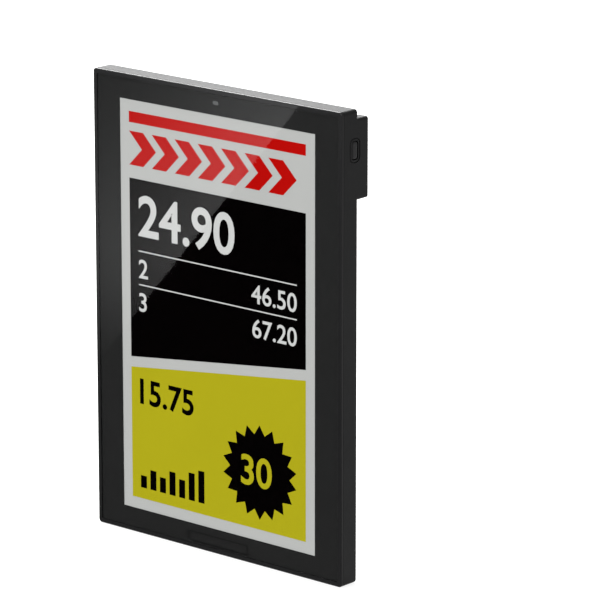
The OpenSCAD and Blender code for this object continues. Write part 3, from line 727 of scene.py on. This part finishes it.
class SHELFLABEL_OT_case(bpy.types.Operator):
    """Finish the bezel, the rear case, the battery cover and the side key"""

    bl_idname = "shelf_label.case"
    bl_label = "Case"

    def execute(self, context):
        look = settings()[0]
        rough, gloss, depth = look.case_roughness, look.case_gloss, look.grain_depth
        # The bezel's paler edges are partly a painted highlight along its rounded edges
        dress(["front_bezel"], moulded(
            "Bezel Plastic", look.bezel, rough - 0.2, depth=depth, gloss=gloss + 0.04, wear_and_highlight=0.35,
            mirrors_front=True))
        dress(["rear_case"], moulded("Rear Plastic", look.case, rough, depth=depth, gloss=gloss))
        dress(["battery_cover"], moulded(
            "Cover Plastic", look.case, rough + 0.02, depth=depth, gloss=gloss))
        dress(["side_button"], moulded(
            "Key Plastic", look.key, rough - 0.1, depth=depth / 2, gloss=0.14))
        self.parting_shade()
        return {"FINISHED"}

    def parting_shade(self):
        """Painted shade of the joint between bezel and rear case: a near-black strip in the groove
        of their edges, where shade falls.
        """
        low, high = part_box("front_bezel")
        half_w = (high.x - low.x) / 2 - SEAM_SINK
        half_h = (high.z - low.z) / 2 - SEAM_SINK
        mid_z = (low.z + high.z) / 2
        joint = low.y + PARTING_D
        outer = round_outline(0.0, mid_z, half_w, half_h, CORNER_R)
        inner = round_outline(0.0, mid_z, half_w - SEAM_T, half_h - SEAM_T, CORNER_R - SEAM_T)
        shape = bmesh.new()
        add_frame(shape, outer, inner, joint - SEAM_W / 2, joint + SEAM_W / 2)
        # A near-black sheet standing in for the shade inside the joint's groove
        ink = printed("Joint Painted Shade", (0.002, 0.002, 0.002), 0.9)
        new_piece("parting_shade", shape, ink, "label")


class SHELFLABEL_OT_window(bpy.types.Operator):
    """Finish the clear window, the print and the tape behind it"""

    bl_idname = "shelf_label.window"
    bl_label = "Front Window"

    def execute(self, context):
        look = settings()[0]
        dress(["cover_window"], clear(
            "Window Clear", (0.985, 0.99, 0.985), ior=1.3, roughness=0.01, haze=0.015))
        dress(["window_border"], printed("Border Print", look.border, 0.5))
        dress(["window_tape"], printed("Tape", (0.02, 0.02, 0.02), 0.6))
        dress(["light_guide"], moulded("Guide Plastic", (0.11, 0.113, 0.115), 0.3, wear_and_highlight=0.0))
        self.touch_mark(look)
        return {"FINISHED"}

    def touch_mark(self, look):
        """Ink in the groove of the touch mark below the screen."""
        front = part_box("cover_window")[0].y + MARK_SINK
        shape = bmesh.new()
        half_w, half_h = MARK_W / 2 - MARK_EDGE, MARK_H / 2 - MARK_EDGE
        corner = MARK_H / 4
        outer = round_outline(0.0, MARK_Z, half_w, half_h, corner)
        inner = round_outline(
            0.0, MARK_Z, half_w - MARK_LINE, half_h - MARK_LINE, corner - MARK_LINE)
        add_frame(shape, outer, inner, front, front + PRINT_T)
        new_piece("touch_mark", shape, printed("Mark Ink", look.mark, 0.5), "label")


class SHELFLABEL_OT_picture(bpy.types.Operator):
    """Make the picture on the screen from plain blocks, chevrons, bars, a star and numerals"""

    bl_idname = "shelf_label.picture"
    bl_label = "Screen Picture"

    def execute(self, context):
        plan = settings()[1]
        dress(["display_film"], pigment("Paper Pigment", plan.paper, 0.05))
        inks = {
            "red": pigment("Red Pigment", plan.red, 0.08),
            "dark": pigment("Black Pigment", plan.dark, 0.2),
            "yellow": pigment("Yellow Pigment", plan.yellow, 0.06),
            "white": pigment("White Pigment", plan.white, 0.05),
        }
        left = SCREEN_LEFT + plan.margin
        right = SCREEN_LEFT + SCREEN_W - plan.margin
        top = SCREEN_LOW + SCREEN_H - plan.margin
        self.red_head(plan, inks["red"], left, right, top)
        self.dark_block(plan, inks, left, right)
        self.yellow_block(plan, inks, left, right)
        return {"FINISHED"}

    def red_head(self, plan, ink, left, right, top):
        """A thin band with a row of chevrons under it."""
        shape = bmesh.new()
        add_prism(shape, box_outline(left, top - plan.band_h, right - left, plan.band_h),
                  BLOCK_FRONT, BLOCK_BACK)
        high = top - plan.band_h - CHEVRON_DROP
        low = high - plan.chevron_h
        mid = (low + high) / 2
        lean = plan.chevron_h / 2
        pitch = (right - left - lean) / CHEVRON_COUNT
        wide = pitch * CHEVRON_SHARE
        for i in range(CHEVRON_COUNT):
            x = left + i * pitch
            add_prism(shape, [
                (x, low), (x + wide, low), (x + wide + lean, mid),
                (x + wide, high), (x, high), (x + lean, mid),
            ], BLOCK_FRONT, BLOCK_BACK)
        new_piece("print_red", shape, ink, "label")

    def dark_block(self, plan, inks, left, right):
        """A dark block with a slanted foot, and a table of pale numerals."""
        low = SCREEN_LOW + plan.dark_low
        high = SCREEN_LOW + plan.dark_high
        shape = bmesh.new()
        add_prism(shape, [(left, low), (right, low + plan.slant), (right, high), (left, high)],
                  BLOCK_FRONT, BLOCK_BACK)
        new_piece("print_black", shape, inks["dark"], "label")
        shape = bmesh.new()
        layer = NUMERAL_FRONT, NUMERAL_BACK
        start, end = left + INSET, right - INSET
        add_numerals(shape, "24.90", start, high - PRICE_DROP, PRICE_H, PRICE_WEIGHT, *layer)
        for i, (count, price) in enumerate([("2", "46.50"), ("3", "67.20")]):
            foot = high - ROW_DROP - ROW_PITCH * i
            add_numerals(shape, count, start, foot, ROW_H, ROW_WEIGHT, *layer)
            add_numerals(shape, price, end, foot, ROW_H, ROW_WEIGHT, *layer, right_aligned=True)
            add_prism(shape, box_outline(start, foot + RULE_RISE, end - start, RULE_T), *layer)
        new_piece("print_white", shape, inks["white"], "label")

    def yellow_block(self, plan, inks, left, right):
        """A yellow block with a slanted head, a price, a row of bars and a star with a number."""
        low = SCREEN_LOW + plan.margin
        high = SCREEN_LOW + plan.dark_low - plan.gap
        shape = bmesh.new()
        add_prism(shape, [(left, low), (right, low), (right, high + plan.slant), (left, high)],
                  BLOCK_FRONT, BLOCK_BACK)
        new_piece("print_yellow", shape, inks["yellow"], "label")
        shape = bmesh.new()
        layer = NUMERAL_FRONT, NUMERAL_BACK
        star_x, star_z = right - INSET - STAR_R, low + INSET + STAR_RISE
        add_prism(shape, star_outline(star_x, star_z, STAR_R, STAR_INNER_R, STAR_POINTS), *layer)
        add_numerals(shape, "15.75", left + INSET, high - OFFER_DROP, OFFER_H, OFFER_WEIGHT, *layer)
        for i, height in enumerate(BAR_HEIGHTS):
            x = left + INSET + i * BAR_PITCH
            add_prism(shape, box_outline(x, low + INSET, BAR_W, height), *layer)
        new_piece("print_numerals", shape, inks["dark"], "label")
        shape = bmesh.new()
        x, z = star_x - STAR_NUMBER_LEFT, star_z - STAR_NUMBER_H / 2
        add_numerals(shape, "30", x, z, STAR_NUMBER_H, PRICE_WEIGHT, STAR_FRONT, STAR_BACK)
        new_piece("print_star", shape, inks["yellow"], "label")


class SHELFLABEL_OT_panel(bpy.types.Operator):
    """Finish the display panel, its ribbon and the frame behind it"""

    bl_idname = "shelf_label.panel"
    bl_label = "Display Panel"

    def execute(self, context):
        dress(["display_glass"], clear(
            "Panel Glass", (0.82, 0.88, 0.86), ior=1.5, roughness=0.02, haze=0.02))
        dress(["driver_chip"], printed("Chip", (0.02, 0.02, 0.022), 0.15))
        dress(["display_flex"], printed("Ribbon", (0.42, 0.19, 0.03), 0.35))
        dress(["panel_foam"], moulded(
            "Panel Foam", (0.03, 0.03, 0.03), 0.9, grains=1800.0, depth=0.05 * MM, wear_and_highlight=0.0))
        dress(["mid_frame"], moulded("Frame Plastic", (0.25, 0.25, 0.26), 0.45))
        return {"FINISHED"}


class SHELFLABEL_OT_electronics(bpy.types.Operator):
    """Finish the circuit board and what is on it"""

    bl_idname = "shelf_label.electronics"
    bl_label = "Electronics"

    def execute(self, context):
        dress(["main_board"], printed("Solder Mask", (0.01, 0.09, 0.035), 0.25))
        dress(["board_components"], moulded("Packages", (0.015, 0.015, 0.016), 0.5, grains=4000.0))
        dress(["flex_connector"], moulded("Connector Plastic", (0.6, 0.55, 0.42), 0.4))
        dress(["shield_can"], metal("Shield Tin", (0.62, 0.62, 0.63), 0.35))
        dress(["radio_antenna"], metal("Antenna Strip", (0.66, 0.63, 0.52), 0.3))
        dress(["nfc_antenna"], metal("Coil Copper", (0.72, 0.36, 0.18), 0.35, stain=0.25))
        dress(["status_led"], moulded("Lamp Lens", (0.8, 0.8, 0.7), 0.25, wear_and_highlight=0.0))
        dress(["tactile_switch"], moulded("Switch Plastic", (0.02, 0.02, 0.022), 0.4))
        dress(["switch_plunger"], moulded("Plunger Plastic", (0.06, 0.06, 0.065), 0.4))
        return {"FINISHED"}


class SHELFLABEL_OT_battery_bay(bpy.types.Operator):
    """Finish the cells, contacts, screws and pads, and mark each cell with a plus sign"""

    bl_idname = "shelf_label.battery_bay"
    bl_label = "Battery Bay"

    def execute(self, context):
        dress(["coin_cells"], metal(
            "Cell Nickel", (0.66, 0.65, 0.63), 0.32, stain=0.12, depth=0.0001 * MM))
        dress(["negative_springs", "positive_contacts"],
              metal("Contact Strip", (0.72, 0.66, 0.46), 0.28))
        dress(["case_screws"], metal("Screw Zinc", (0.5, 0.5, 0.52), 0.35))
        dress(["cell_pads"], moulded(
            "Cell Pads", (0.04, 0.04, 0.042), 0.9, grains=1500.0, depth=0.06 * MM, wear_and_highlight=0.0))
        self.cell_marks()
        return {"FINISHED"}

    def cell_marks(self):
        """A pressed plus sign on the back of each cell."""
        low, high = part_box("coin_cells")
        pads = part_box("cell_pads")
        pitch = (pads[1].x - pads[0].x - PAD_W) / (CELL_COUNT - 1)
        z = (low.z + high.z) / 2 + PLUS_RISE
        arm, half = PLUS_ARM, PLUS_HALF
        shape = bmesh.new()
        for i in range(CELL_COUNT):
            x = (i - (CELL_COUNT - 1) / 2) * pitch
            add_prism(shape, [
                (x - arm, z - half), (x - half, z - half), (x - half, z - arm),
                (x + half, z - arm), (x + half, z - half), (x + arm, z - half),
                (x + arm, z + half), (x + half, z + half), (x + half, z + arm),
                (x - half, z + arm), (x - half, z + half), (x - arm, z + half),
            ], high.y + PLUS_FRONT, high.y + PLUS_BACK)
        new_piece("cell_marks", shape, metal("Pressed Mark", (0.3, 0.3, 0.3), 0.4), "label")


# Studio

class SHELFLABEL_OT_stage(bpy.types.Operator):
    """Make the floor, the sky, the lamps, the cards and the camera"""

    bl_idname = "shelf_label.stage"
    bl_label = "Studio"

    def execute(self, context):
        plan = settings()[2]
        context.scene.view_settings.view_transform = "Standard"
        low, high = CAD_BOX
        self.centre = (low + high) / 2
        self.sky(plan)
        self.floor(plan)
        self.cards(plan)
        self.lamps(plan)
        self.camera(plan)
        return {"FINISHED"}

    def seen_rays(self, tree):
        """1 for rays that see the background: straight, in a gloss or through glass."""
        rays = put(tree, "ShaderNodeLightPath").outputs
        mirrored = maths(tree, "MAXIMUM", rays["Is Glossy Ray"], rays["Is Transmission Ray"])
        return maths(tree, "MAXIMUM", rays["Is Camera Ray"], mirrored)

    def sky(self, plan):
        """A white world, which gives matt surfaces the sky's strength only."""
        world = bpy.data.worlds.new("Studio Sky")
        world.use_nodes = True
        tree = world.node_tree
        glow = tree.nodes["Background"]
        glow.inputs["Color"].default_value = (1, 1, 1, 1)
        strength = maths(tree, "MULTIPLY_ADD", self.seen_rays(tree), 1.0 - plan.sky, plan.sky)
        tree.links.new(strength, glow.inputs["Strength"])
        bpy.context.scene.world = world

    def floor(self, plan):
        """A wide white disc just under the label, which takes its shadow and lights as the sky."""
        turns = [2 * math.pi * i / FLOOR_SIDES for i in range(FLOOR_SIDES)]
        rim = [(FLOOR_R * math.cos(turn), FLOOR_R * math.sin(turn)) for turn in turns]
        material, tree, shader = new_material("Floor White")
        tree.nodes.remove(shader)
        lit = put(tree, "ShaderNodeEmission", {"Strength": plan.sky}).outputs[0]
        shade = put(tree, "ShaderNodeBsdfDiffuse", {"Color": opaque([FLOOR_SHADE] * 3)}).outputs[0]
        glow = put(tree, "ShaderNodeEmission", {"Strength": FLOOR_GLOW}).outputs[0]
        seen = put(tree, "ShaderNodeAddShader", {0: shade, 1: glow}).outputs[0]
        mix_surface(tree, self.seen_rays(tree), lit, seen)
        piece = new_object("floor", flat_sheet(rim, -FLOOR_DROP), material)

    def cards(self, plan):
        """Two cards that lie on the floor at the front left and show only in gloss and glass."""
        far, near = [(x, CARD_SLOPE * x + CARD_START) for x in CARD_JOIN]
        dark = [far, *DARK_CORNERS, near]
        pale = [far, near, (PALE_LEFT, near[1]), (PALE_LEFT, PALE_CORNER[1]), PALE_CORNER]
        for name, outline in (("dark_card", dark), ("pale_card", pale)):
            material, tree, shader = new_material(name)
            fill(tree, shader, {"Base Color": (0, 0, 0, 1), "Specular IOR Level": 0.0})
            if name == "pale_card":
                fill(tree, shader, {
                    "Emission Color": (1, 1, 1, 1), "Emission Strength": self.card_glow(tree, plan),
                })
            card = new_object(name, flat_sheet(outline, CARD_LIFT), material)
            card.visible_camera = False
            card.visible_diffuse = False
            card.visible_shadow = False

    def card_glow(self, tree, plan):
        """Glow of the pale card, strongest along the join and weak near the label."""
        x, y = put(tree, "ShaderNodeSeparateXYZ", {0: own_place(tree)}).outputs[:2]
        above = maths(tree, "MULTIPLY_ADD", x, -CARD_SLOPE, y)
        over = maths(tree, "SUBTRACT", above, CARD_START)
        near = map_range(tree, over, (0.0, plan.card_reach), (1.0, 0.0))
        rise = map_range(tree, y, CARD_RISE, (0.0, plan.card_glow), interpolation_type="SMOOTHSTEP")
        return maths(tree, "MULTIPLY", maths(tree, "POWER", near, CARD_FALL), rise)

    def softbox(self, name, way, distance, size, watts):
        """A rectangular lamp in a direction from the label, aimed at its middle."""
        lamp = bpy.data.lights.new(name, "AREA")
        lamp.shape = "RECTANGLE"
        lamp.size, lamp.size_y = size
        lamp.energy = watts
        box = bpy.data.objects.new(name, lamp)
        aim = Vector(way).normalized()
        box.location = self.centre + aim * distance
        box.rotation_euler = aim.to_track_quat("Z", "Y").to_euler()
        box.visible_camera = False
        bpy.context.scene.collection.objects.link(box)

    def lamps(self, plan):
        """Three softboxes: behind at the left, low at the back and at the front."""
        self.softbox("key_softbox", way=(-0.62, 0.35, 0.70), distance=1.3, size=(0.9, 0.6),
                     watts=plan.key_power)
        self.softbox("back_softbox", way=(-0.62, 0.74, 0.30), distance=1.6, size=(1.2, 0.5),
                     watts=plan.back_power)
        self.softbox("fill_softbox", way=(-0.25, -0.92, 0.28), distance=2.4, size=(1.4, 1.4),
                     watts=plan.fill_power)

    def camera(self, plan):
        """The camera that took the photograph, as its straight edges give it."""
        lens = bpy.data.cameras.new("camera")
        lens.lens = plan.lens
        lens.sensor_width = SENSOR_W
        lens.clip_end = VIEW_REACH
        camera = bpy.data.objects.new("camera", lens)
        yaw = Matrix.Rotation(CAMERA_YAW, 4, "Z")
        dip = Matrix.Rotation(math.pi / 2 - CAMERA_DIP, 4, "X")
        roll = Matrix.Rotation(CAMERA_ROLL, 4, "Z")
        camera.matrix_world = Matrix.Translation(CAMERA_PLACE) @ (yaw @ dip) @ roll
        bpy.context.scene.collection.objects.link(camera)
        bpy.context.scene.camera = camera


STEPS = ["case", "window", "picture", "panel", "electronics", "battery_bay", "stage"]


class SHELFLABEL_PT_sidebar(bpy.types.Panel):
    """Lists the sizes, the colours and the steps"""

    bl_idname = "SHELFLABEL_PT_sidebar"
    bl_label = "Shelf Label"
    bl_space_type = "VIEW_3D"
    bl_region_type = "UI"
    bl_category = "Shelf Label"

    def draw(self, context):
        """Shows each group's properties, then a button for each step."""
        for group in settings():
            column = self.layout.column(align=True)
            for name in group.__annotations__:
                column.prop(group, name)
        for step in STEPS:
            self.layout.operator("shelf_label." + step)


CLASSES = [
    ShelfLabelFinish,
    ShelfLabelPicture,
    ShelfLabelStudio,
    SHELFLABEL_OT_case,
    SHELFLABEL_OT_window,
    SHELFLABEL_OT_picture,
    SHELFLABEL_OT_panel,
    SHELFLABEL_OT_electronics,
    SHELFLABEL_OT_battery_bay,
    SHELFLABEL_OT_stage,
    SHELFLABEL_PT_sidebar,
]


def register():
    """Adds the classes and the three groups of properties."""
    for cls in CLASSES:
        bpy.utils.register_class(cls)
    bpy.types.Scene.shelf_label_finish = bpy.props.PointerProperty(type=ShelfLabelFinish)
    bpy.types.Scene.shelf_label_picture = bpy.props.PointerProperty(type=ShelfLabelPicture)
    bpy.types.Scene.shelf_label_studio = bpy.props.PointerProperty(type=ShelfLabelStudio)


def unregister():
    """Takes away what register added."""
    del bpy.types.Scene.shelf_label_studio
    del bpy.types.Scene.shelf_label_picture
    del bpy.types.Scene.shelf_label_finish
    for cls in reversed(CLASSES):
        bpy.utils.unregister_class(cls)


def main():
    """Makes everything in order."""
    register()
    for step in STEPS:
        getattr(bpy.ops.shelf_label, step)()


if __name__ == "__main__":
    main()
